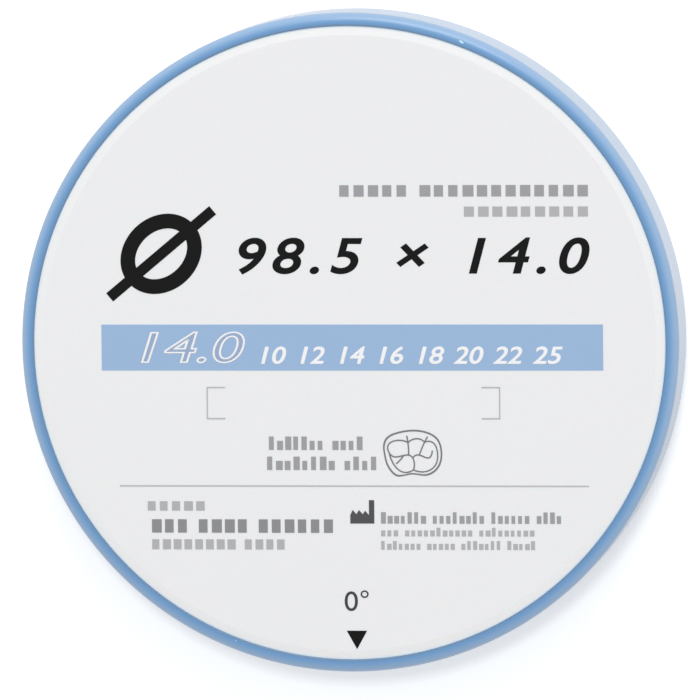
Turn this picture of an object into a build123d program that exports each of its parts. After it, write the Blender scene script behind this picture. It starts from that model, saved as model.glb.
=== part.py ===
from build123d import *
import os

# A dental milling disc: a round blank of pre-sintered ceramic, held in a thin
# plastic collar ring of the same height, with thin printed marks on its front face.
# The disc lies on its rear face. Millimetres, +Z along the disc's axis towards the
# printed face, +Y towards the top of the print, origin at the rear face's centre.

# Driving dimensions of the disc
disc_diameter = 98.5
disc_height = 14.0
collar_wall = 1.95
collar_front_round = 1.5
collar_rear_chamfer = 0.8
collar_mouth_break = 0.15
blank_chamfer_width = 1.35
blank_chamfer_depth = 0.25

# Radii that follow from them
disc_radius = disc_diameter / 2
blank_radius = disc_radius - collar_wall

# Ink layer of the print
ink_thickness = 0.05
ink_line = 0.2

# Blue band across the middle of the face
band_width = 75.1
band_height = 6.85
band_center = (0.45, -0.6)

# Pair of corner brackets that mark an empty writing field
field_width = 43.8
field_height = 4.65
field_arm = 2.7
field_center = (0.6, -8.9)

# Thin rule below the field
rule_width = 70.3
rule_center = (0.6, -21.3)

# Triangle near the rim that points at the disc's index position
triangle_width = 3.05
triangle_height = 2.75
triangle_top = (0.85, -42.95)

# Line figure of a molar seen on its biting side
tooth_width = 8.9
tooth_height = 6.9
tooth_line = 0.24
tooth_groove_line = 0.2
tooth_center = (9.45, -16.45)


def turned(outline):
    """Revolve a closed outline of radius and height about the disc's axis."""
    section = Plane.XZ * make_face(outline)
    return revolve(section, Axis.Z)


def zirconia_blank():
    """The ceramic cylinder, with the same wide chamfer on its front and rear edges."""
    face_radius = blank_radius - blank_chamfer_width
    upper_edge = disc_height - blank_chamfer_depth
    outline = Polyline(
        (0, 0),
        (face_radius, 0),
        (blank_radius, blank_chamfer_depth),
        (blank_radius, upper_edge),
        (face_radius, disc_height),
        (0, disc_height),
        close=True,
    )
    return turned(outline)


def collar_ring():
    """The plastic ring round the blank.

    Its section is an upright rectangle. The front outer corner is rounded over most of the
    wall's thickness, the rear one is chamfered, and both mouths of the bore are broken.
    """
    section = Pos(disc_radius - collar_wall / 2, disc_height / 2) * Rectangle(collar_wall, disc_height)
    bore_corners = section.vertices().group_by(Axis.X)[0]
    section = chamfer(bore_corners, collar_mouth_break)
    front_corner = section.vertices().group_by(Axis.X)[-1].sort_by(Axis.Y)[-1]
    section = fillet(front_corner, collar_front_round)
    rear_corner = section.vertices().group_by(Axis.X)[-1].sort_by(Axis.Y)[0]
    section = chamfer(rear_corner, collar_rear_chamfer)
    return revolve(Plane.XZ * section, Axis.Z)


def ink(shape, center):
    """Lay a flat shape on the front face as a thin layer of ink."""
    placed = Pos(center[0], center[1], disc_height) * shape
    return extrude(placed, ink_thickness)


def blue_band():
    """The wide field of colour across the middle."""
    return ink(Rectangle(band_width, band_height), band_center)


def bracket(side):
    """One square bracket of the field; side is -1 for the left one and 1 for the right."""
    half_width = side * field_width / 2
    arm_end = half_width - side * field_arm
    half_height = field_height / 2
    path = Polyline(
        (arm_end, half_height),
        (half_width, half_height),
        (half_width, -half_height),
        (arm_end, -half_height),
    )
    return trace(path, ink_line)


def field_brackets():
    """Both brackets of the empty writing field."""
    left = ink(bracket(-1), field_center)
    right = ink(bracket(1), field_center)
    return Compound(left.solids() + right.solids())


def face_rule():
    """The thin line that divides the lower part of the print."""
    return ink(Rectangle(rule_width, ink_line), rule_center)


def index_triangle():
    """The solid triangle that points down at the rim."""
    half_width = triangle_width / 2
    outline = Polyline((-half_width, 0), (half_width, 0), (0, -triangle_height), close=True)
    return ink(make_face(outline), triangle_top)


def tooth_curve(points, closed=False):
    """A smooth line through points given in parts of the figure's half width and height."""
    placed = [(across * tooth_width / 2, up * tooth_height / 2) for across, up in points]
    return Spline(*placed, periodic=closed)


def molar_contour():
    """The outer line of the molar: a rounded square, with a shallow dent in its lower side."""
    outer = make_face(
        tooth_curve(
            [
                (-0.99, 0.12),
                (-0.83, 0.76),
                (-0.48, 0.95),
                (0.48, 0.95),
                (0.83, 0.68),
                (0.99, 0.05),
                (0.86, -0.62),
                (0.46, -0.95),
                (-0.06, -0.9),
                (-0.56, -0.97),
                (-0.8, -0.68),
            ],
            closed=True,
        )
    )
    across = 1 - 2 * tooth_line / tooth_width
    up = 1 - 2 * tooth_line / tooth_height
    return outer - scale(outer, by=(across, up, 1))


def cusp_rims():
    """The crests of the five cusps, one curve from groove to groove for each."""
    return [
        [(-0.79, 0.03), (-0.8, 0.42), (-0.45, 0.58), (-0.16, 0.48)],
        [(-0.16, 0.48), (0.03, 0.63), (0.22, 0.64), (0.4, 0.5)],
        [(0.4, 0.5), (0.7, 0.46), (0.83, 0.08), (0.8, -0.38)],
        [(0.8, -0.38), (0.5, -0.75), (0.22, -0.78), (0.02, -0.7)],
        [(0.02, -0.7), (-0.42, -0.75), (-0.68, -0.38), (-0.79, 0.03)],
    ]


def grooves():
    """The grooves between the cusps: the long central one, its branches and a side pit."""
    return [
        [(-0.79, 0.03), (-0.55, -0.14), (-0.14, -0.06), (0.0, -0.18)],
        [(0.0, -0.18), (0.22, -0.06), (0.48, -0.18), (0.66, 0.14)],
        [(-0.2, 0.78), (-0.16, 0.48), (-0.14, -0.06)],
        [(0.5, 0.74), (0.4, 0.5), (0.22, -0.06)],
        [(0.0, -0.18), (0.05, -0.42), (0.02, -0.7)],
        [(-0.32, -0.1), (-0.43, -0.28), (-0.56, -0.44)],
    ]


def tooth_outline():
    """The line figure of a molar: its contour, the rims of its cusps and the grooves."""
    figure = molar_contour()
    for points in cusp_rims() + grooves():
        figure += trace(tooth_curve(points), tooth_groove_line)
    return ink(figure, tooth_center)


sub_parts = {
    "zirconia_blank": zirconia_blank,
    "collar_ring": collar_ring,
    "blue_band": blue_band,
    "field_brackets": field_brackets,
    "face_rule": face_rule,
    "index_triangle": index_triangle,
    "tooth_outline": tooth_outline,
}

os.makedirs("parts", exist_ok=True)
for name, build_solid in sub_parts.items():
    export_step(build_solid(), f"parts/{name}.step")
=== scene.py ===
"""A dental milling disc: a matt white ceramic blank in a glossy blue collar ring, with a printed front face.

The disc lies on its rear face, printed face up, in its own frame: +Z along its axis, +Y towards the top
of the print, and the origin at the centre of the rear face. Lengths are in metres, and where a comment
says so, places in the print are in millimetres.
"""

import math
from collections import namedtuple

import bpy
import numpy as np
from mathutils import Matrix, Vector


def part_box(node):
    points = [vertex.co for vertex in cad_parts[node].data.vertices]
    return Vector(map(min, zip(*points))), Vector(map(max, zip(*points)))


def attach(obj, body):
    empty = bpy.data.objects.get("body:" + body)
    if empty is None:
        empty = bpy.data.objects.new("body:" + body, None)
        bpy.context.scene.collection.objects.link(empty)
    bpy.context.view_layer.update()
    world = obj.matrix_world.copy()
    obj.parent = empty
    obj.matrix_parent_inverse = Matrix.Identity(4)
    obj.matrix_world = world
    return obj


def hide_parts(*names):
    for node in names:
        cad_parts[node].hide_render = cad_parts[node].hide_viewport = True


bl_info = {
    "name": "Dental Milling Disc",
    "version": (1, 0, 0),
    "blender": (4, 5, 0),
    "location": "3D View > Sidebar > Milling Disc",
    "description": "Builds a printed ceramic milling disc in its plastic collar ring, and a studio",
    "category": "Add Mesh",
}

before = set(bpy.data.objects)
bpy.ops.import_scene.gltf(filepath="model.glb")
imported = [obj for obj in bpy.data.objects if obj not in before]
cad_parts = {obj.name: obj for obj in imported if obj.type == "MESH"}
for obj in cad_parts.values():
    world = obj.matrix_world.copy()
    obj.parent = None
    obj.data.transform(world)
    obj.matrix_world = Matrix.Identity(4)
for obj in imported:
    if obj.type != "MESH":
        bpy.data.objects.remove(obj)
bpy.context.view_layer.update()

MM = 0.001
ROOT = "root"

# The disc's size, from the highest corners of the frame's nodes
RING_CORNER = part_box("collar_ring")[1]
DISC_RADIUS = RING_CORNER.x
DISC_HEIGHT = RING_CORNER.z
BLANK_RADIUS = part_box("zirconia_blank")[1].x

# Tops of the ink on the face, and of a second layer of ink on the band
INK_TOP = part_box("blue_band")[1].z
BAND_INK_TOP = 2 * INK_TOP - DISC_HEIGHT

# The size as it is printed on the face, in millimetres, and the lean of the figures
DIAMETER_TEXT = f"{2 * DISC_RADIUS / MM:.1f}"
HEIGHT_TEXT = f"{DISC_HEIGHT / MM:.1f}"
SLANT = 0.22


# Numpy helpers for shapes


def arc(center, radius, start, end, steps):
    """Points on a circle: center + radius * (cos a, sin a) at evenly spaced angles from start to end."""
    angle = np.linspace(start, end, steps)
    return center + radius * np.column_stack([np.cos(angle), np.sin(angle)])


def rounded_corner(before, corner, after, radius, steps):
    """The circular arc that touches both legs of a corner.

    Its ends lie radius / tan(half the corner's angle) from the corner, and its centre lies on the
    bisector at radius / sin(half the angle). The angles between are evenly spaced.
    """
    back = (before - corner) / np.linalg.norm(before - corner)
    ahead = (after - corner) / np.linalg.norm(after - corner)
    half = math.acos(float(np.clip(back @ ahead, -1, 1))) / 2
    bisector = (back + ahead) / np.linalg.norm(back + ahead)
    center = corner + bisector * radius / math.sin(half)
    start = corner + back * radius / math.tan(half) - center
    end = corner + ahead * radius / math.tan(half) - center
    first = math.atan2(start[1], start[0])
    sweep = math.atan2(start[0] * end[1] - start[1] * end[0], start @ end)
    return arc(center, radius, first, first + sweep, steps)


def joined_outline(curves, closed, support=0.06 * MM):
    """One outline through several curves, as points of radius and height.

    A straight run that joins two curves, and is longer than three times support, gets a point at
    that distance from each of its ends, so that it stays flat under smooth shading.
    """
    outline = []
    for i, curve in enumerate(curves):
        outline.append(curve)
        if i + 1 < len(curves) or closed:
            start = curve[-1]
            end = curves[(i + 1) % len(curves)][0]
            run = np.linalg.norm(end - start)
            if run > 3 * support:
                share = support / run
                outline.append(start + (end - start) * np.array([[share], [1 - share]]))
    return np.vstack(outline)


def grid_quads(rows, columns, wrap_columns):
    """Corner numbers of the quads of a grid whose rows close into a loop, and whose columns may."""
    row, column = np.meshgrid(
        np.arange(rows), np.arange(columns if wrap_columns else columns - 1), indexing="ij"
    )
    next_row = (row + 1) % rows
    next_column = (column + 1) % columns
    quads = [
        row * columns + column,
        next_row * columns + column,
        next_row * columns + next_column,
        row * columns + next_column,
    ]
    return np.stack(quads, axis=-1).reshape(-1, 4)


def mesh_object(name, points, faces, smooth):
    """A new object from an array of points and a list of arrays of faces, with its place in its mesh."""
    mesh = bpy.data.meshes.new(name)
    mesh.from_pydata(points.tolist(), [], [face for block in faces for face in block.tolist()])
    mesh.polygons.foreach_set("use_smooth", np.full(len(mesh.polygons), smooth))
    mesh.update()
    created = bpy.data.objects.new(name, mesh)
    bpy.context.scene.collection.objects.link(created)
    return created


def turn_grid(profile, angles):
    """The surface of revolution (r cos a, r sin a, z) for every angle a and profile point (r, z)."""
    radius, height = profile.T
    x = np.cos(angles)[:, None] * radius
    y = np.sin(angles)[:, None] * radius
    z = np.broadcast_to(height, x.shape)
    return np.stack([x, y, z], axis=-1)


def turned_solid(profile, turns):
    """The closed surface of revolution of a profile that starts and ends on the axis.

    Its points are (r cos a, r sin a, z) for even angles a, and the profile's two ends as poles, each
    with a fan of triangles round it.
    """
    rings = profile[1:-1]
    angles = np.linspace(0, 2 * math.pi, turns, endpoint=False)
    poles = np.column_stack([np.zeros((2, 2)), profile[[0, -1], 1]])
    points = np.vstack([turn_grid(rings, angles).reshape(-1, 3), poles])
    quads = grid_quads(turns, len(rings), wrap_columns=False)
    first = np.arange(turns) * len(rings)
    last = first + len(rings) - 1
    lower_pole = np.full(turns, turns * len(rings))
    lower_fan = np.column_stack([lower_pole, np.roll(first, -1), first])
    upper_fan = np.column_stack([lower_pole + 1, last, np.roll(last, -1)])
    return points, [quads, lower_fan, upper_fan]


def ink_blocks(low, high, base, top):
    """Blocks of ink from arrays of their lower left and upper right corners.

    A block's corners are low + (high - low) * (0 or 1) in each direction, and it stands from base to top.
    """
    share = np.array([[0, 0, 0], [1, 0, 0], [1, 1, 0], [0, 1, 0], [0, 0, 1], [1, 0, 1], [1, 1, 1], [0, 1, 1]])
    low = np.column_stack([low, np.full(len(low), base)])[:, None, :]
    high = np.column_stack([high, np.full(len(high), top)])[:, None, :]
    points = low + (high - low) * share
    sides = np.array([[3, 2, 1, 0], [4, 5, 6, 7], [0, 1, 5, 4], [1, 2, 6, 5], [2, 3, 7, 6], [3, 0, 4, 7]])
    faces = sides + len(share) * np.arange(len(low))[:, None, None]
    return points.reshape(-1, 3), faces.reshape(-1, 4)


def ink_stroke(path, width, base, top, closed):
    """A flat stroke of even width along a path: its sides lie at path + normal * (+1/2 or -1/2) * width.

    The normal is the path's direction turned by a quarter, and the direction is the difference of
    the neighbouring points. An open stroke's ends are closed by one quad each.
    """
    if closed:
        along = np.roll(path, -1, axis=0) - np.roll(path, 1, axis=0)
    else:
        along = np.gradient(path, axis=0)
    along /= np.linalg.norm(along, axis=1)[:, None]
    half = np.column_stack([-along[:, 1], along[:, 0]]) * width / 2
    left = path + half
    right = path - half
    section = [(left, base), (left, top), (right, top), (right, base)]
    grid = np.stack([np.column_stack([side, np.full(len(side), z)]) for side, z in section])
    faces = [grid_quads(len(section), len(path), wrap_columns=closed)]
    if not closed:
        corner = np.arange(len(section)) * len(path)
        faces.append(corner[None, :])
        faces.append((corner + len(path) - 1)[None, ::-1])
    return grid.reshape(-1, 3), np.vstack(faces)


def ink_plate(outline, base, top):
    """A flat plate of ink with the given outline: a face below, a face above and a wall round them."""
    count = len(outline)
    points = np.vstack([np.column_stack([outline, np.full(count, z)]) for z in (base, top)])
    near = np.arange(count)
    far = (near + 1) % count
    wall = np.column_stack([near, far, far + count, near + count])
    return points, [near[None, ::-1], near[None, :] + count, wall]


def merged(first, second):
    """Two sets of points and faces as one: the second's faces count on from the first's points."""
    points = np.vstack([first[0], second[0]])
    return points, np.vstack([first[1], second[1] + len(first[0])])


def figures_mesh(name, body, low, high, look, base=DISC_HEIGHT, top=INK_TOP, depth=0.01):
    """Plain figures from the built-in font, fitted between two corners of the face, as a mesh of its own.

    A point's place is low + (high - low) * its share of the text's own box, from base to top in height.
    The text is extruded by depth first. look holds further font settings, such as shear, bevel_depth
    for the weight, or fill_mode for outlines.
    """
    text = bpy.data.curves.new(name, "FONT")
    text.body = body
    text.extrude = depth
    for key, value in look.items():
        setattr(text, key, value)
    written = bpy.data.objects.new(name, text)
    bpy.context.scene.collection.objects.link(written)
    bpy.context.view_layer.update()
    drawn = written.evaluated_get(bpy.context.evaluated_depsgraph_get())
    mesh = bpy.data.meshes.new_from_object(drawn)
    bpy.data.objects.remove(written)
    bpy.data.curves.remove(text)
    points = np.empty(3 * len(mesh.vertices))
    mesh.vertices.foreach_get("co", points)
    points = points.reshape(-1, 3)
    share = (points - points.min(axis=0)) / np.ptp(points, axis=0)
    floor = np.array([*low, base])
    points = floor + (np.array([*high, top]) - floor) * share
    mesh.vertices.foreach_set("co", points.ravel())
    mesh.materials.clear()
    mesh.update()
    created = bpy.data.objects.new(name, mesh)
    bpy.context.scene.collection.objects.link(created)
    return created


# Settings that a user would change


class DiscShape(bpy.types.PropertyGroup):
    """Edges of the blank and its collar."""

    chamfer_width: bpy.props.FloatProperty(
        name="Chamfer Width",
        description="How far the blank's chamfer reaches in from its rim",
        default=1.35 * MM,
        unit="LENGTH",
    )
    chamfer_depth: bpy.props.FloatProperty(
        name="Chamfer Depth",
        description="How far the blank's chamfer goes down its rim",
        default=0.25 * MM,
        unit="LENGTH",
    )
    blank_edge: bpy.props.FloatProperty(
        name="Blank Edge",
        description="Radius of the worn edges at both ends of the chamfer",
        default=0.1 * MM,
        unit="LENGTH",
    )
    front_round: bpy.props.FloatProperty(
        name="Front Round",
        description="Radius of the collar's front outer edge",
        default=1.5 * MM,
        unit="LENGTH",
    )
    rear_chamfer: bpy.props.FloatProperty(
        name="Rear Chamfer",
        description="Size of the chamfer on the collar's rear outer edge",
        default=0.8 * MM,
        unit="LENGTH",
    )
    rear_edge: bpy.props.FloatProperty(
        name="Rear Edge",
        description="Radius of the worn edges at both ends of the rear chamfer",
        default=0.15 * MM,
        unit="LENGTH",
    )
    mouth_edge: bpy.props.FloatProperty(
        name="Mouth Edge",
        description="Radius of the edges at the mouths of the collar's bore",
        default=0.16 * MM,
        unit="LENGTH",
    )


class DiscFinish(bpy.types.PropertyGroup):
    """Colours of the materials."""

    ceramic: bpy.props.FloatVectorProperty(
        name="Ceramic",
        description="Colour of the pre-sintered blank",
        subtype="COLOR",
        size=4,
        default=(0.86, 0.865, 0.88, 1),
    )
    collar: bpy.props.FloatVectorProperty(
        name="Collar",
        description="Colour of the collar's plastic",
        subtype="COLOR",
        size=4,
        default=(0.13, 0.31, 0.58, 1),
    )
    # Painted sheen: the collar's colour turns paler towards its outer edge, standing in for the white that it
    # mirrors there
    painted_edge_sheen: bpy.props.FloatVectorProperty(
        name="Collar Edge",
        description="Paler colour that the collar's plastic turns to at its outer edge",
        subtype="COLOR",
        size=4,
        default=(0.32, 0.49, 0.73, 1),
    )
    # Partly a dark glue line, partly painted shade in the gap where the collar meets the blank
    seam: bpy.props.FloatVectorProperty(
        name="Seam",
        description="Darker colour of the collar where it meets the blank",
        subtype="COLOR",
        size=4,
        default=(0.145, 0.25, 0.41, 1),
    )
    band: bpy.props.FloatVectorProperty(
        name="Band",
        description="Colour of the printed band",
        subtype="COLOR",
        size=4,
        default=(0.34, 0.49, 0.715, 1),
    )
    black: bpy.props.FloatVectorProperty(
        name="Black Ink",
        description="Colour of the large figures and the triangle",
        subtype="COLOR",
        size=4,
        default=(0.006, 0.0065, 0.006, 1),
    )


class Studio(bpy.types.PropertyGroup):
    """The camera's place and the light's level."""

    tilt: bpy.props.FloatProperty(
        name="Tilt",
        description="Angle between the camera's direction and the disc's axis",
        default=math.radians(8.0),
        subtype="ANGLE",
    )
    heading: bpy.props.FloatProperty(
        name="Heading",
        description="Direction in which the camera leans away from the axis, from +X towards +Y",
        default=math.radians(35),
        subtype="ANGLE",
    )
    distance: bpy.props.FloatProperty(
        name="Distance",
        description="From the front face to the camera",
        default=1.75,
        unit="LENGTH",
    )
    frame_width: bpy.props.FloatProperty(
        name="Frame Width",
        description="Width of the picture at the front face",
        default=104.15 * MM,
        unit="LENGTH",
    )
    sky: bpy.props.FloatProperty(
        name="Sky Level",
        description="Strength of the even light from all sides",
        default=0.56,
    )
    key: bpy.props.FloatProperty(
        name="Key Power",
        description="Power of the wide soft light beyond the top of the print, in watts",
        default=12.5,
    )
    overhead: bpy.props.FloatProperty(
        name="Overhead Power",
        description="Power of the smaller lamp almost straight above the disc, in watts",
        default=6.5,
    )


# Materials


def node(tree, kind, **values):
    """A new node of the given kind, with its properties and its unlinked inputs set by name."""
    created = tree.nodes.new(kind)
    for key, value in values.items():
        if key in created.inputs:
            created.inputs[key].default_value = value
        else:
            setattr(created, key, value)
    return created


def surface_grain_group():
    """Node group of fine grain: two sizes of noise, as a height and as a tone around 1."""
    name = "surface_grain"
    if name in bpy.data.node_groups:
        return bpy.data.node_groups[name]
    tree = bpy.data.node_groups.new(name, "ShaderNodeTree")
    sockets = tree.interface
    sockets.new_socket("Vector", in_out="INPUT", socket_type="NodeSocketVector")
    for label, value in (("Fine Scale", 9000.0), ("Broad Scale", 120.0), ("Tone Range", 0.02)):
        sockets.new_socket(label, in_out="INPUT", socket_type="NodeSocketFloat").default_value = value
    sockets.new_socket("Height", in_out="OUTPUT", socket_type="NodeSocketFloat")
    sockets.new_socket("Tone", in_out="OUTPUT", socket_type="NodeSocketFloat")
    given = tree.nodes.new("NodeGroupInput")
    result = tree.nodes.new("NodeGroupOutput")
    fine = node(tree, "ShaderNodeTexNoise", Detail=3.0, Roughness=0.6)
    broad = node(tree, "ShaderNodeTexNoise", Detail=2.0, Roughness=0.5)
    low = node(tree, "ShaderNodeMath", operation="SUBTRACT")
    low.inputs[0].default_value = 1.0
    high = node(tree, "ShaderNodeMath", operation="ADD")
    high.inputs[0].default_value = 1.0
    tone = node(tree, "ShaderNodeMapRange")
    tree.links.new(given.outputs["Vector"], fine.inputs["Vector"])
    tree.links.new(given.outputs["Vector"], broad.inputs["Vector"])
    tree.links.new(given.outputs["Fine Scale"], fine.inputs["Scale"])
    tree.links.new(given.outputs["Broad Scale"], broad.inputs["Scale"])
    tree.links.new(given.outputs["Tone Range"], low.inputs[1])
    tree.links.new(given.outputs["Tone Range"], high.inputs[1])
    tree.links.new(broad.outputs["Fac"], tone.inputs["Value"])
    tree.links.new(low.outputs[0], tone.inputs["To Min"])
    tree.links.new(high.outputs[0], tone.inputs["To Max"])
    tree.links.new(fine.outputs["Fac"], result.inputs["Height"])
    tree.links.new(tone.outputs["Result"], result.inputs["Tone"])
    return tree


def distance_mask_group():
    """Node group of a round fade: 0 up to a first distance from the Z axis, and 1 from a second one on."""
    name = "distance_mask"
    if name in bpy.data.node_groups:
        return bpy.data.node_groups[name]
    tree = bpy.data.node_groups.new(name, "ShaderNodeTree")
    sockets = tree.interface
    sockets.new_socket("Vector", in_out="INPUT", socket_type="NodeSocketVector")
    sockets.new_socket("First", in_out="INPUT", socket_type="NodeSocketFloat")
    sockets.new_socket("Second", in_out="INPUT", socket_type="NodeSocketFloat")
    sockets.new_socket("Mask", in_out="OUTPUT", socket_type="NodeSocketFloat")
    given = tree.nodes.new("NodeGroupInput")
    result = tree.nodes.new("NodeGroupOutput")
    flat = node(tree, "ShaderNodeVectorMath", operation="MULTIPLY")
    flat.inputs[1].default_value = (1, 1, 0)
    distance = node(tree, "ShaderNodeVectorMath", operation="LENGTH")
    fade = node(tree, "ShaderNodeMapRange", interpolation_type="SMOOTHSTEP")
    tree.links.new(given.outputs["Vector"], flat.inputs[0])
    tree.links.new(flat.outputs["Vector"], distance.inputs[0])
    tree.links.new(distance.outputs["Value"], fade.inputs["Value"])
    tree.links.new(given.outputs["First"], fade.inputs["From Min"])
    tree.links.new(given.outputs["Second"], fade.inputs["From Max"])
    tree.links.new(fade.outputs["Result"], result.inputs["Mask"])
    return tree


def toned(tree, color, tone):
    """A colour multiplied by a grey tone."""
    mix = node(tree, "ShaderNodeMix", data_type="RGBA", blend_type="MULTIPLY")
    mix.inputs["Factor"].default_value = 1.0
    mix.inputs["A"].default_value = color
    tree.links.new(tone, mix.inputs["B"])
    return mix.outputs["Result"]


def grained_material(name, color, fine_scale, broad_scale, tone_range, bump, rough, **shader):
    """A Principled material with the grain group on its colour, its roughness and its bump.

    Further arguments set the shader's own sockets by name, with _ for a space.
    """
    material = bpy.data.materials.new(name)
    material.use_nodes = True
    tree = material.node_tree
    principled = tree.nodes["Principled BSDF"]
    for key, value in shader.items():
        principled.inputs[key.replace("_", " ")].default_value = value
    place = tree.nodes.new("ShaderNodeTexCoord")
    grain = node(tree, "ShaderNodeGroup", node_tree=surface_grain_group())
    grain.inputs["Fine Scale"].default_value = fine_scale
    grain.inputs["Broad Scale"].default_value = broad_scale
    grain.inputs["Tone Range"].default_value = tone_range
    tree.links.new(place.outputs["Object"], grain.inputs["Vector"])
    tree.links.new(toned(tree, color, grain.outputs["Tone"]), principled.inputs["Base Color"])
    roughness = node(tree, "ShaderNodeMapRange")
    roughness.inputs["To Min"].default_value = rough[0]
    roughness.inputs["To Max"].default_value = rough[1]
    tree.links.new(grain.outputs["Height"], roughness.inputs["Value"])
    tree.links.new(roughness.outputs["Result"], principled.inputs["Roughness"])
    relief = node(tree, "ShaderNodeBump", Distance=bump)
    tree.links.new(grain.outputs["Height"], relief.inputs["Height"])
    tree.links.new(relief.outputs["Normal"], principled.inputs["Normal"])
    return material


def tint(tree, mask, color):
    """Mix a colour over what feeds Base Color so far, as far as a mask lets it."""
    base = tree.nodes["Principled BSDF"].inputs["Base Color"]
    mix = node(tree, "ShaderNodeMix", data_type="RGBA")
    mix.inputs["B"].default_value = color
    tree.links.new(mask, mix.inputs["Factor"])
    tree.links.new(base.links[0].from_socket, mix.inputs["A"])
    tree.links.new(mix.outputs["Result"], base)


def tint_round(tree, first, second, color):
    """Fade to a colour between two distances from the disc's axis, outwards or inwards."""
    place = tree.nodes.new("ShaderNodeTexCoord")
    fade = node(tree, "ShaderNodeGroup", node_tree=distance_mask_group())
    fade.inputs["First"].default_value = first
    fade.inputs["Second"].default_value = second
    tree.links.new(place.outputs["Object"], fade.inputs["Vector"])
    tint(tree, fade.outputs["Mask"], color)


def ceramic_material(finish, chamfer_width):
    """Pressed, half-fired ceramic powder: chalky and matt.

    Its chamfer has a painted highlight, a little whiter than the face, and its rim a painted highlight tinged
    with the collar's blue.
    """
    material = grained_material(
        "chalky_ceramic",
        finish.ceramic,
        fine_scale=6000.0,
        broad_scale=60.0,
        tone_range=0.006,
        bump=0.004 * MM,
        rough=(0.62, 0.72),
        Subsurface_Weight=0.1,
        Subsurface_Scale=0.5 * MM,
        Specular_IOR_Level=0.35,
    )
    tree = material.node_tree
    face_radius = BLANK_RADIUS - chamfer_width
    softness = 0.05 * MM
    # Painted highlight: the chamfer is coloured whiter to stand in for the light that it catches
    chamfer_highlight_white = (0.89, 0.895, 0.9, 1)
    tint_round(tree, face_radius - softness, face_radius + softness, chamfer_highlight_white)
    # Painted highlight along the rim, tinged with the collar's blue as if lit by it
    rim_highlight_width = 0.4 * MM
    blue_rim_highlight = (0.76, 0.89, 0.99, 1)
    tint_round(tree, BLANK_RADIUS - rim_highlight_width, BLANK_RADIUS - softness, blue_rim_highlight)
    return material


def collar_material(finish):
    """Moulded light blue plastic: a glue line and painted shade darken it along its bore, a painted sheen
    makes it pale at its outer edge, and painted glints make its nicks pale.
    """
    material = grained_material(
        "moulded_plastic",
        finish.collar,
        fine_scale=1500.0,
        broad_scale=80.0,
        tone_range=0.02,
        bump=0.002 * MM,
        rough=(0.2, 0.3),
        IOR=1.5,
        Sheen_Weight=0.4,
        Sheen_Roughness=0.4,
    )
    tree = material.node_tree
    # Painted sheen: paler towards the outer edge, standing in for the white surroundings that the rounded
    # edge mirrors
    sheen_from = BLANK_RADIUS + 0.3 * MM
    sheen_to = DISC_RADIUS - 0.2 * MM
    tint_round(tree, sheen_from, sheen_to, finish.painted_edge_sheen)
    # Dark glue line along the bore, with painted shade for the gap between collar and blank
    shade_from = BLANK_RADIUS + 0.42 * MM
    shade_to = BLANK_RADIUS + 0.12 * MM
    tint_round(tree, shade_from, shade_to, finish.seam)
    # Painted highlight: the nicks are coloured pale where they catch the light
    first_glint = 0.25
    full_glint = 0.6
    glint_blue = (0.55, 0.78, 0.95, 1)
    scuff = node(tree, "ShaderNodeAttribute", attribute_name="scuff")
    mask = node(tree, "ShaderNodeMapRange")
    mask.inputs["From Min"].default_value = first_glint
    mask.inputs["From Max"].default_value = full_glint
    tree.links.new(scuff.outputs["Fac"], mask.inputs["Value"])
    tint(tree, mask.outputs["Result"], glint_blue)
    return material


def ink_material(name, color):
    """Printed ink with a dull sheen, made once for each name."""
    if name in bpy.data.materials:
        return bpy.data.materials[name]
    return grained_material(
        name,
        color,
        fine_scale=5000.0,
        broad_scale=200.0,
        tone_range=0.01,
        bump=0.002 * MM,
        rough=(0.5, 0.6),
        Specular_IOR_Level=0.1,
    )


# Colours of the print that aren't settings
PRINT_COLORS = {
    "line": (0.5, 0.5, 0.51, 1),
    "tooth": (0.2, 0.2, 0.21, 1),
    "index": (0.06, 0.06, 0.065, 1),
    "sign": (0.09, 0.09, 0.095, 1),
    "dark_grey": (0.28, 0.28, 0.29, 1),
    "middle_grey": (0.36, 0.36, 0.37, 1),
    "pale_grey": (0.46, 0.46, 0.47, 1),
    "white": (0.9, 0.91, 0.93, 1),
    "shaded": (0.33, 0.43, 0.62, 1),
}


def print_ink(color_name):
    """The ink of one of the print's own colours."""
    return ink_material(f"{color_name}_print", PRINT_COLORS[color_name])


def dress(piece, material):
    """Give a piece one material in place of those it has."""
    piece.data.materials.clear()
    piece.data.materials.append(material)


# Operators, and the shapes that only one of them needs


def collar_profile(shape):
    """The collar's closed section, counted from the rear mouth of its bore outwards.

    Every corner is an arc: wide at the front outer edge, small at the two ends of the rear chamfer
    and at the mouths of the bore.
    """
    corners = np.array(
        [
            (BLANK_RADIUS, 0),
            (DISC_RADIUS - shape.rear_chamfer, 0),
            (DISC_RADIUS, shape.rear_chamfer),
            (DISC_RADIUS, DISC_HEIGHT),
            (BLANK_RADIUS, DISC_HEIGHT),
        ]
    )
    radii = (shape.mouth_edge, shape.rear_edge, shape.rear_edge, shape.front_round, shape.mouth_edge)
    steps = (7, 5, 5, 33, 7)
    count = len(corners)
    curves = [
        rounded_corner(corners[i - 1], corners[i], corners[(i + 1) % count], radii[i], steps[i])
        for i in range(count)
    ]
    return joined_outline(curves, closed=True)


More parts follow.
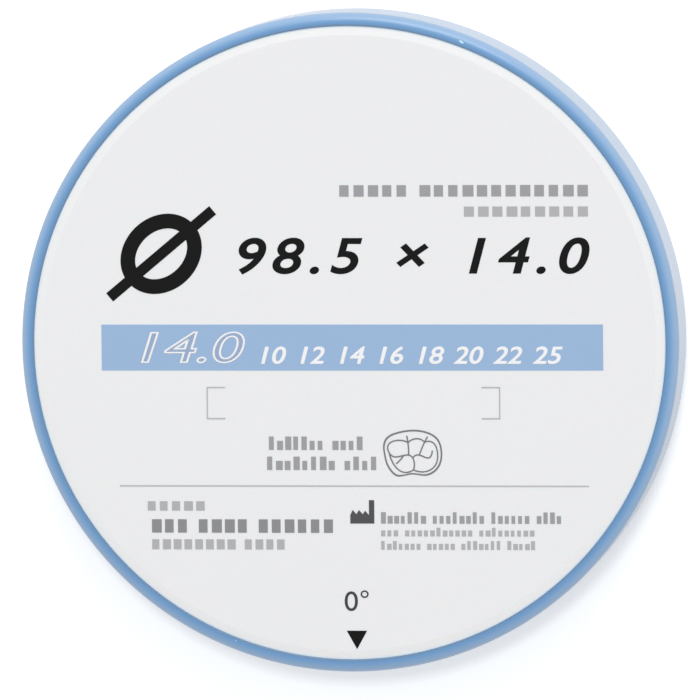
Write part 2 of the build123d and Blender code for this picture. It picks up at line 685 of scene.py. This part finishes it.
class DISC_OT_ceramic_blank(bpy.types.Operator):
    """Turn the white blank, with a chamfer on both edges"""

    bl_idname = "disc.ceramic_blank"
    bl_label = "Ceramic Blank"

    turns = 360
    edge_steps = 9

    def execute(self, context):
        shape = context.scene.disc_shape
        blank = mesh_object("ceramic_blank", *turned_solid(self.profile(shape), self.turns), smooth=True)
        dress(blank, ceramic_material(context.scene.disc_finish, shape.chamfer_width))
        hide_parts("zirconia_blank")
        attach(blank, ROOT)
        return {"FINISHED"}

    def profile(self, shape):
        """Half the blank's section, from the axis at the rear face to the axis at the front face."""
        face = BLANK_RADIUS - shape.chamfer_width
        corners = np.array(
            [
                (0, 0),
                (face, 0),
                (BLANK_RADIUS, shape.chamfer_depth),
                (BLANK_RADIUS, DISC_HEIGHT - shape.chamfer_depth),
                (face, DISC_HEIGHT),
                (0, DISC_HEIGHT),
            ]
        )
        edges = [
            rounded_corner(*corners[i - 1 : i + 2], radius=shape.blank_edge, steps=self.edge_steps)
            for i in range(1, len(corners) - 1)
        ]
        return joined_outline([corners[:1], *edges, corners[-1:]], closed=False)


# Each nick's place on the lip, its size, and how strong its painted glint is, from 0 to 1
Nick = namedtuple("Nick", "angle radius length width depth paleness")
NICKS = (
    Nick(math.radians(69.0), 48.08 * MM, 0.8 * MM, 0.34 * MM, 0.05 * MM, 1.0),
    Nick(math.radians(248.7), 47.74 * MM, 0.42 * MM, 0.26 * MM, 0.03 * MM, 0.52),
    Nick(math.radians(250.2), 47.78 * MM, 0.22 * MM, 0.2 * MM, 0.02 * MM, 0.5),
)


class DISC_OT_collar(bpy.types.Operator):
    """Turn the blue collar ring round the blank, with the small nicks in its lip"""

    bl_idname = "disc.collar"
    bl_label = "Collar Ring"

    turns = 512
    nick_turns = 41
    nick_skew = 0.2
    angle_decimals = 7

    def execute(self, context):
        profile = collar_profile(context.scene.disc_shape)
        angles = self.angles()
        grid = turn_grid(profile, angles)
        scuff = np.zeros(grid.shape[:2])
        outward = self.outward(profile, angles)
        for nick in NICKS:
            dent = self.dent(nick, profile, angles)
            grid -= outward * (nick.depth * dent)[..., None]
            scuff = np.maximum(scuff, nick.paleness * dent)
        quads = grid_quads(len(angles), len(profile), wrap_columns=True)
        ring = mesh_object("moulded_collar", grid.reshape(-1, 3), [quads], smooth=True)
        # How strong the nicks' painted glint is at each point, for the collar's material
        glint_layer = ring.data.attributes.new("scuff", "FLOAT", "POINT")
        glint_layer.data.foreach_set("value", scuff.ravel())
        dress(ring, collar_material(context.scene.disc_finish))
        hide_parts("collar_ring")
        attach(ring, ROOT)
        return {"FINISHED"}

    def angles(self):
        """Even steps round the ring, with finer steps over twice the length of each nick."""
        even = np.linspace(0, 2 * math.pi, self.turns, endpoint=False)
        fine = [
            nick.angle + np.linspace(-1, 1, self.nick_turns) * nick.length / nick.radius for nick in NICKS
        ]
        return np.unique(np.concatenate([even, *fine]).round(self.angle_decimals))

    def outward(self, profile, angles):
        """Unit normals of the turned profile: its tangent turned by a quarter, carried round the axis."""
        tangent = np.roll(profile, -1, axis=0) - np.roll(profile, 1, axis=0)
        tangent /= np.linalg.norm(tangent, axis=1)[:, None]
        return turn_grid(np.column_stack([tangent[:, 1], -tangent[:, 0]]), angles)

    def dent(self, nick, profile, angles):
        """How deep a nick is, from 0 to 1: exp(-(2 a / length)² - (2 b / width)²).

        a is the way along the ring, and b the way out from the nick's radius less nick_skew * a, so
        that the nick runs askew. Only the front half of the section has nicks.
        """
        along = (angles[:, None] - nick.angle) * nick.radius
        out = profile[None, :, 0] - nick.radius - self.nick_skew * along
        front = profile[None, :, 1] > DISC_HEIGHT / 2
        return front * np.exp(-((2 * along / nick.length) ** 2) - (2 * out / nick.width) ** 2)


class DISC_OT_printed_fields(bpy.types.Operator):
    """Ink the band, the brackets, the rule, the triangle and the molar"""

    bl_idname = "disc.printed_fields"
    bl_label = "Printed Fields"

    def execute(self, context):
        finish = context.scene.disc_finish
        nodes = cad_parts
        dress(nodes["blue_band"], ink_material("blue_print", finish.band))
        dress(nodes["field_brackets"], print_ink("line"))
        dress(nodes["face_rule"], print_ink("line"))
        dress(nodes["index_triangle"], ink_material("black_print", finish.black))
        dress(nodes["tooth_outline"], print_ink("tooth"))
        return {"FINISHED"}


def inked(piece, material):
    """Give a piece of print its ink, and let it ride on the disc."""
    dress(piece, material)
    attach(piece, ROOT)


def cell_starts(row, gap):
    """Left edges of the cells of a row, and their pitch, with a gap of so many cells between words."""
    pitch = (row.high[0] - row.low[0]) / (sum(row.words) + gap * (len(row.words) - 1))
    word = np.repeat(np.arange(len(row.words)), row.words)
    return row.low[0] + pitch * (np.arange(len(word)) + gap * word), pitch


def row_blocks(row, left, width, share):
    """Corners of a row's blocks, from their left edges, widths and shares of the row's height."""
    low = np.column_stack([left, np.full(len(left), row.low[1])])
    return low, low + np.column_stack([width, (row.high[1] - row.low[1]) * share])


def square_cells(row, randomness, gap=0.6, fill=0.7, spread=(0.9, 1.1)):
    """One block as high as the row for each square cell, with its width varied by a tenth."""
    left, pitch = cell_starts(row, gap)
    width = pitch * fill * randomness.uniform(*spread, len(left))
    return row_blocks(row, left, width, np.ones(len(left)))


def narrow_cells(row, randomness, gap=0.8, fill=0.68, spread=(0.8, 1.15), tall=0.25, short=0.68):
    """One block for each narrow cell: about a quarter are as high as the row, the others two thirds."""
    left, pitch = cell_starts(row, gap)
    width = pitch * fill * randomness.uniform(*spread, len(left))
    share = np.where(randomness.random(len(left)) < tall, 1.0, short)
    return row_blocks(row, left, width, share)


class DISC_OT_size_figures(bpy.types.Operator):
    """Ink the disc's size: a diameter sign and large slanted figures"""

    bl_idname = "disc.size_figures"
    bl_label = "Size Figures"

    # Places and sizes on the face, in millimetres
    sign_center = (-28.0, 13.4)
    sign_radius = 4.9
    ring_stroke = 2.2
    slash_from = (-35.8, 6.9)
    slash_to = (-20.2, 19.9)
    slash_stroke = 1.6
    slash_rise = 0.004
    figures_low = (-16.4, 10.3)
    figures_high = (36.1, 15.8)
    index_low = (-0.95, -40.0)
    index_high = (2.65, -36.9)

    ring_steps = 96
    figures_look = {
        "shear": SLANT,
        "bevel_depth": 0.016,
        "bevel_resolution": 0,
        "space_character": 1.25,
        "resolution_u": 8,
    }
    index_look = {"resolution_u": 8}

    def execute(self, context):
        ink = ink_material("black_print", context.scene.disc_finish.black)
        points, faces = merged(self.ring(), self.slash())
        inked(mesh_object("diameter_sign", points, [faces], smooth=False), ink)
        corners = MM * np.array([self.figures_low, self.figures_high])
        body = f"{DIAMETER_TEXT} × {HEIGHT_TEXT}"
        inked(figures_mesh("size_figures", body, *corners, self.figures_look), ink)
        corners = MM * np.array([self.index_low, self.index_high])
        index = figures_mesh("index_figure", "0°", *corners, self.index_look)
        inked(index, print_ink("index"))
        return {"FINISHED"}

    def ring(self):
        """A sheared circle with an even stroke: x = r cos a + slant * y, y = r sin a."""
        path = arc((0, 0), self.sign_radius, 0, 2 * math.pi, self.ring_steps + 1)[:-1]
        path[:, 0] += SLANT * path[:, 1]
        path = MM * (path + self.sign_center)
        return ink_stroke(path, MM * self.ring_stroke, DISC_HEIGHT, INK_TOP, closed=True)

    def slash(self):
        """A straight stroke that stands a hair higher than the ring that it crosses."""
        path = MM * np.array([self.slash_from, self.slash_to])
        top = INK_TOP + MM * self.slash_rise
        return ink_stroke(path, MM * self.slash_stroke, DISC_HEIGHT, top, closed=False)


class DISC_OT_band_print(bpy.types.Operator):
    """Print slanted figures on the band: the disc's height in outline, and a row of heights in white"""

    bl_idname = "disc.band_print"
    bl_label = "Band Print"

    # Places on the band, in millimetres
    height_low = (-31.3, -3.0)
    height_high = (-15.5, 1.8)
    heights_low = (-13.2, -3.1)
    heights_high = (32.0, -0.4)

    body_look = {"shear": SLANT, "bevel_depth": 0.012, "bevel_resolution": 0, "resolution_u": 6}
    line_look = {
        "shear": SLANT,
        "resolution_u": 6,
        "fill_mode": "NONE",
        "extrude": 0.0,
        "bevel_depth": 0.02,
        "bevel_resolution": 1,
    }
    heights_look = {
        "shear": SLANT,
        "bevel_depth": 0.02,
        "bevel_resolution": 0,
        "space_word": 1.4,
        "resolution_u": 5,
    }
    heights = "10 12 14 16 18 20 22 25"

    def execute(self, context):
        low, high = MM * np.array([self.height_low, self.height_high])
        middle = (INK_TOP + BAND_INK_TOP) / 2
        body = figures_mesh("band_height", HEIGHT_TEXT, low, high, self.body_look, INK_TOP, middle)
        inked(body, print_ink("shaded"))
        self.white_figures("band_height_lines", HEIGHT_TEXT, low, high, self.line_look)
        low, high = MM * np.array([self.heights_low, self.heights_high])
        self.white_figures("band_heights", self.heights, low, high, self.heights_look)
        return {"FINISHED"}

    def white_figures(self, name, body, low, high, look):
        """White figures as a second layer of ink on the band."""
        figures = figures_mesh(name, body, low, high, look, INK_TOP, BAND_INK_TOP)
        inked(figures, print_ink("white"))


# Rows of small print: their corners in millimetres, how many cells each word has, and how they look
PrintRow = namedtuple("PrintRow", "name low high words pattern ink")
SMALL_PRINT = (
    PrintRow("upper_row", (-1.2, 21.9), (36.5, 23.6), (5, 12), square_cells, "middle_grey"),
    PrintRow("upper_note", (17.4, 18.9), (36.5, 20.4), (9,), square_cells, "pale_grey"),
    PrintRow("side_row_upper", (-12.1, -15.9), (2.3, -13.9), (7, 4), narrow_cells, "middle_grey"),
    PrintRow("side_row_lower", (-12.4, -18.9), (4.5, -16.9), (8, 4), narrow_cells, "middle_grey"),
    PrintRow("left_heading", (-30.4, -25.0), (-21.3, -23.6), (5,), square_cells, "pale_grey"),
    PrintRow("left_row", (-29.8, -28.3), (-2.0, -26.3), (3, 4, 6), square_cells, "dark_grey"),
    PrintRow("left_note", (-29.8, -30.8), (-9.4, -29.3), (8, 4), square_cells, "pale_grey"),
    PrintRow("right_heading", (4.6, -26.9), (31.9, -25.2), (7, 8, 6, 4), narrow_cells, "middle_grey"),
    PrintRow("right_note_upper", (4.6, -28.8), (27.8, -27.5), (3, 11, 9), narrow_cells, "pale_grey"),
    PrintRow("right_note_lower", (4.6, -30.8), (27.9, -29.5), (7, 5, 7, 5), narrow_cells, "pale_grey"),
)


class DISC_OT_small_print(bpy.types.Operator):
    """Ink the small lines of print as rows of plain blocks, and the small works building"""

    bl_idname = "disc.small_print"
    bl_label = "Small Print"

    seed = 11

    # The building's lower left corner and size in millimetres, and its outline in shares of that size
    building_low = (0.0, -26.9)
    building_size = (3.6, 3.5)
    building_outline = (
        (0, 0),
        (1, 0),
        (1, 1),
        (0.78, 1),
        (0.78, 0.36),
        (0.62, 0.55),
        (0.52, 0.4),
        (0.36, 0.58),
        (0.26, 0.4),
        (0.1, 0.58),
        (0, 0.36),
    )

    def execute(self, context):
        randomness = np.random.default_rng(self.seed)
        for row in SMALL_PRINT:
            low, high = row.pattern(row, randomness)
            points, faces = ink_blocks(MM * low, MM * high, DISC_HEIGHT, INK_TOP)
            inked(mesh_object(row.name, points, [faces], smooth=False), print_ink(row.ink))
        outline = np.array(self.building_low) + np.array(self.building_size) * self.building_outline
        building = ink_plate(MM * outline, DISC_HEIGHT, INK_TOP)
        inked(mesh_object("works_sign", *building, smooth=False), print_ink("sign"))
        return {"FINISHED"}


class DISC_OT_studio(bpy.types.Operator):
    """Set up the pale floor, the soft light and the camera"""

    bl_idname = "disc.studio"
    bl_label = "Studio"

    # The floor lies a hair below the disc's rear face, so that the two don't share a plane
    floor_half = 3.0
    floor_gap = 0.05 * MM

    key_place = (0.2, 1.5, 1.2)
    key_size = 1.0
    overhead_place = (0.05, 0.36, 1.7)
    overhead_size = 0.25

    sensor_width = 36.0
    far_clip = 20.0

    # The picture's width, and how far right of and below the face's centre the camera aims, in pixels
    picture_width = 700
    aim_right = 1.3
    aim_below = 6.5

    def execute(self, context):
        studio = context.scene.studio
        half = self.floor_half
        corners = np.array([[-half, -half], [half, -half], [half, half], [-half, half]])
        corners = np.column_stack([corners, np.full(len(corners), -self.floor_gap)])
        floor = mesh_object("floor", corners, [np.array([[0, 1, 2, 3]])], smooth=False)
        dress(floor, floor_material())
        sky_light(studio.sky)
        self.lamp("key_light", self.key_place, self.key_size, studio.key)
        overhead = self.lamp("overhead_light", self.overhead_place, self.overhead_size, studio.overhead)
        overhead.visible_glossy = False
        self.camera(context, studio)
        return {"FINISHED"}

    def lamp(self, name, place, size, power):
        """A square area lamp at a place, aimed at the disc."""
        light = bpy.data.lights.new(name, "AREA")
        light.shape = "SQUARE"
        light.size = size
        light.energy = power
        holder = bpy.data.objects.new(name, light)
        bpy.context.scene.collection.objects.link(holder)
        holder.location = place
        holder.rotation_euler = (-Vector(place)).to_track_quat("-Z", "Y").to_euler()
        return holder

    def camera(self, context, studio):
        """A long lens, tilted off the disc's axis; the disc sits a little above the picture's middle.

        Its focal length is sensor width * distance / frame width.
        """
        lens = bpy.data.cameras.new("camera")
        lens.sensor_width = self.sensor_width
        lens.lens = self.sensor_width * studio.distance / studio.frame_width
        lens.clip_end = self.far_clip
        holder = bpy.data.objects.new("camera", lens)
        context.scene.collection.objects.link(holder)
        lean = math.sin(studio.tilt)
        away = Vector(
            (lean * math.cos(studio.heading), lean * math.sin(studio.heading), math.cos(studio.tilt))
        )
        right = Vector((1, 0, 0))
        right = (right - away * right.dot(away)).normalized()
        up = away.cross(right)
        pixel = studio.frame_width / self.picture_width
        aim = Vector((0, 0, DISC_HEIGHT)) + right * self.aim_right * pixel - up * self.aim_below * pixel
        place = aim + away * studio.distance
        turn = Matrix((right, up, away)).transposed().to_4x4()
        holder.matrix_world = Matrix.Translation(place) @ turn
        context.scene.camera = holder


def floor_material():
    """White paper floor.

    It keeps the disc's shadow, a share of plain white lifts it where the camera sees it, and
    glossy surfaces mirror it as even white.
    """
    seen_color = (0.9, 0.9, 0.9, 1)
    bounce_color = (0.8, 0.8, 0.8, 1)
    seen_lift = 0.36
    mirrored_white = 0.92
    material = bpy.data.materials.new("white_floor")
    material.use_nodes = True
    tree = material.node_tree
    tree.nodes.clear()
    paper = node(tree, "ShaderNodeBsdfDiffuse", Color=seen_color)
    bounce = node(tree, "ShaderNodeBsdfDiffuse", Color=bounce_color)
    white = node(tree, "ShaderNodeEmission", Strength=seen_lift)
    seen = tree.nodes.new("ShaderNodeAddShader")
    mirrored = node(tree, "ShaderNodeEmission", Strength=mirrored_white)
    path = tree.nodes.new("ShaderNodeLightPath")
    to_camera = tree.nodes.new("ShaderNodeMixShader")
    to_gloss = tree.nodes.new("ShaderNodeMixShader")
    output = tree.nodes.new("ShaderNodeOutputMaterial")
    tree.links.new(paper.outputs[0], seen.inputs[0])
    tree.links.new(white.outputs[0], seen.inputs[1])
    tree.links.new(path.outputs["Is Camera Ray"], to_camera.inputs[0])
    tree.links.new(bounce.outputs[0], to_camera.inputs[1])
    tree.links.new(seen.outputs[0], to_camera.inputs[2])
    tree.links.new(path.outputs["Is Glossy Ray"], to_gloss.inputs[0])
    tree.links.new(to_camera.outputs[0], to_gloss.inputs[1])
    tree.links.new(mirrored.outputs[0], to_gloss.inputs[2])
    tree.links.new(to_gloss.outputs[0], output.inputs[0])
    return material


def sky_light(level):
    """An even white sky: plain white to the camera and in reflections, and at the given level as light."""
    world = bpy.data.worlds.new("white_sky")
    bpy.context.scene.world = world
    world.use_nodes = True
    tree = world.node_tree
    background = tree.nodes["Background"]
    background.inputs["Color"].default_value = (1, 1, 1, 1)
    path = tree.nodes.new("ShaderNodeLightPath")
    either = node(tree, "ShaderNodeMath", operation="MAXIMUM")
    strength = node(tree, "ShaderNodeMapRange")
    strength.inputs["To Min"].default_value = level
    strength.inputs["To Max"].default_value = 1.0
    tree.links.new(path.outputs["Is Camera Ray"], either.inputs[0])
    tree.links.new(path.outputs["Is Glossy Ray"], either.inputs[1])
    tree.links.new(either.outputs[0], strength.inputs["Value"])
    tree.links.new(strength.outputs["Result"], background.inputs["Strength"])


class DISC_PT_sidebar(bpy.types.Panel):
    """Lists the disc's pieces and settings in the sidebar."""

    bl_label = "Milling Disc"
    bl_idname = "DISC_PT_sidebar"
    bl_space_type = "VIEW_3D"
    bl_region_type = "UI"
    bl_category = "Milling Disc"

    def draw(self, context):
        layout = self.layout
        for step in STEPS:
            layout.operator(step.bl_idname)
        for settings in (context.scene.disc_shape, context.scene.disc_finish, context.scene.studio):
            box = layout.box()
            for key in settings.__annotations__:
                box.prop(settings, key)


SETTINGS = {"disc_shape": DiscShape, "disc_finish": DiscFinish, "studio": Studio}
STEPS = (
    DISC_OT_ceramic_blank,
    DISC_OT_collar,
    DISC_OT_printed_fields,
    DISC_OT_size_figures,
    DISC_OT_band_print,
    DISC_OT_small_print,
    DISC_OT_studio,
)


def register():
    """Make the settings, the operators and the panel known to Blender."""
    for name, group in SETTINGS.items():
        bpy.utils.register_class(group)
        setattr(bpy.types.Scene, name, bpy.props.PointerProperty(type=group))
    for step in STEPS:
        bpy.utils.register_class(step)
    bpy.utils.register_class(DISC_PT_sidebar)


def unregister():
    """Take the panel, the operators and the settings away again."""
    bpy.utils.unregister_class(DISC_PT_sidebar)
    for step in reversed(STEPS):
        bpy.utils.unregister_class(step)
    for name, group in SETTINGS.items():
        delattr(bpy.types.Scene, name)
        bpy.utils.unregister_class(group)


def main():
    """Register the add-on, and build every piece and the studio."""
    register()
    bpy.context.scene.view_settings.view_transform = "Standard"
    bpy.ops.disc.ceramic_blank()
    bpy.ops.disc.collar()
    bpy.ops.disc.printed_fields()
    bpy.ops.disc.size_figures()
    bpy.ops.disc.band_print()
    bpy.ops.disc.small_print()
    bpy.ops.disc.studio()


if __name__ == "__main__":
    main()
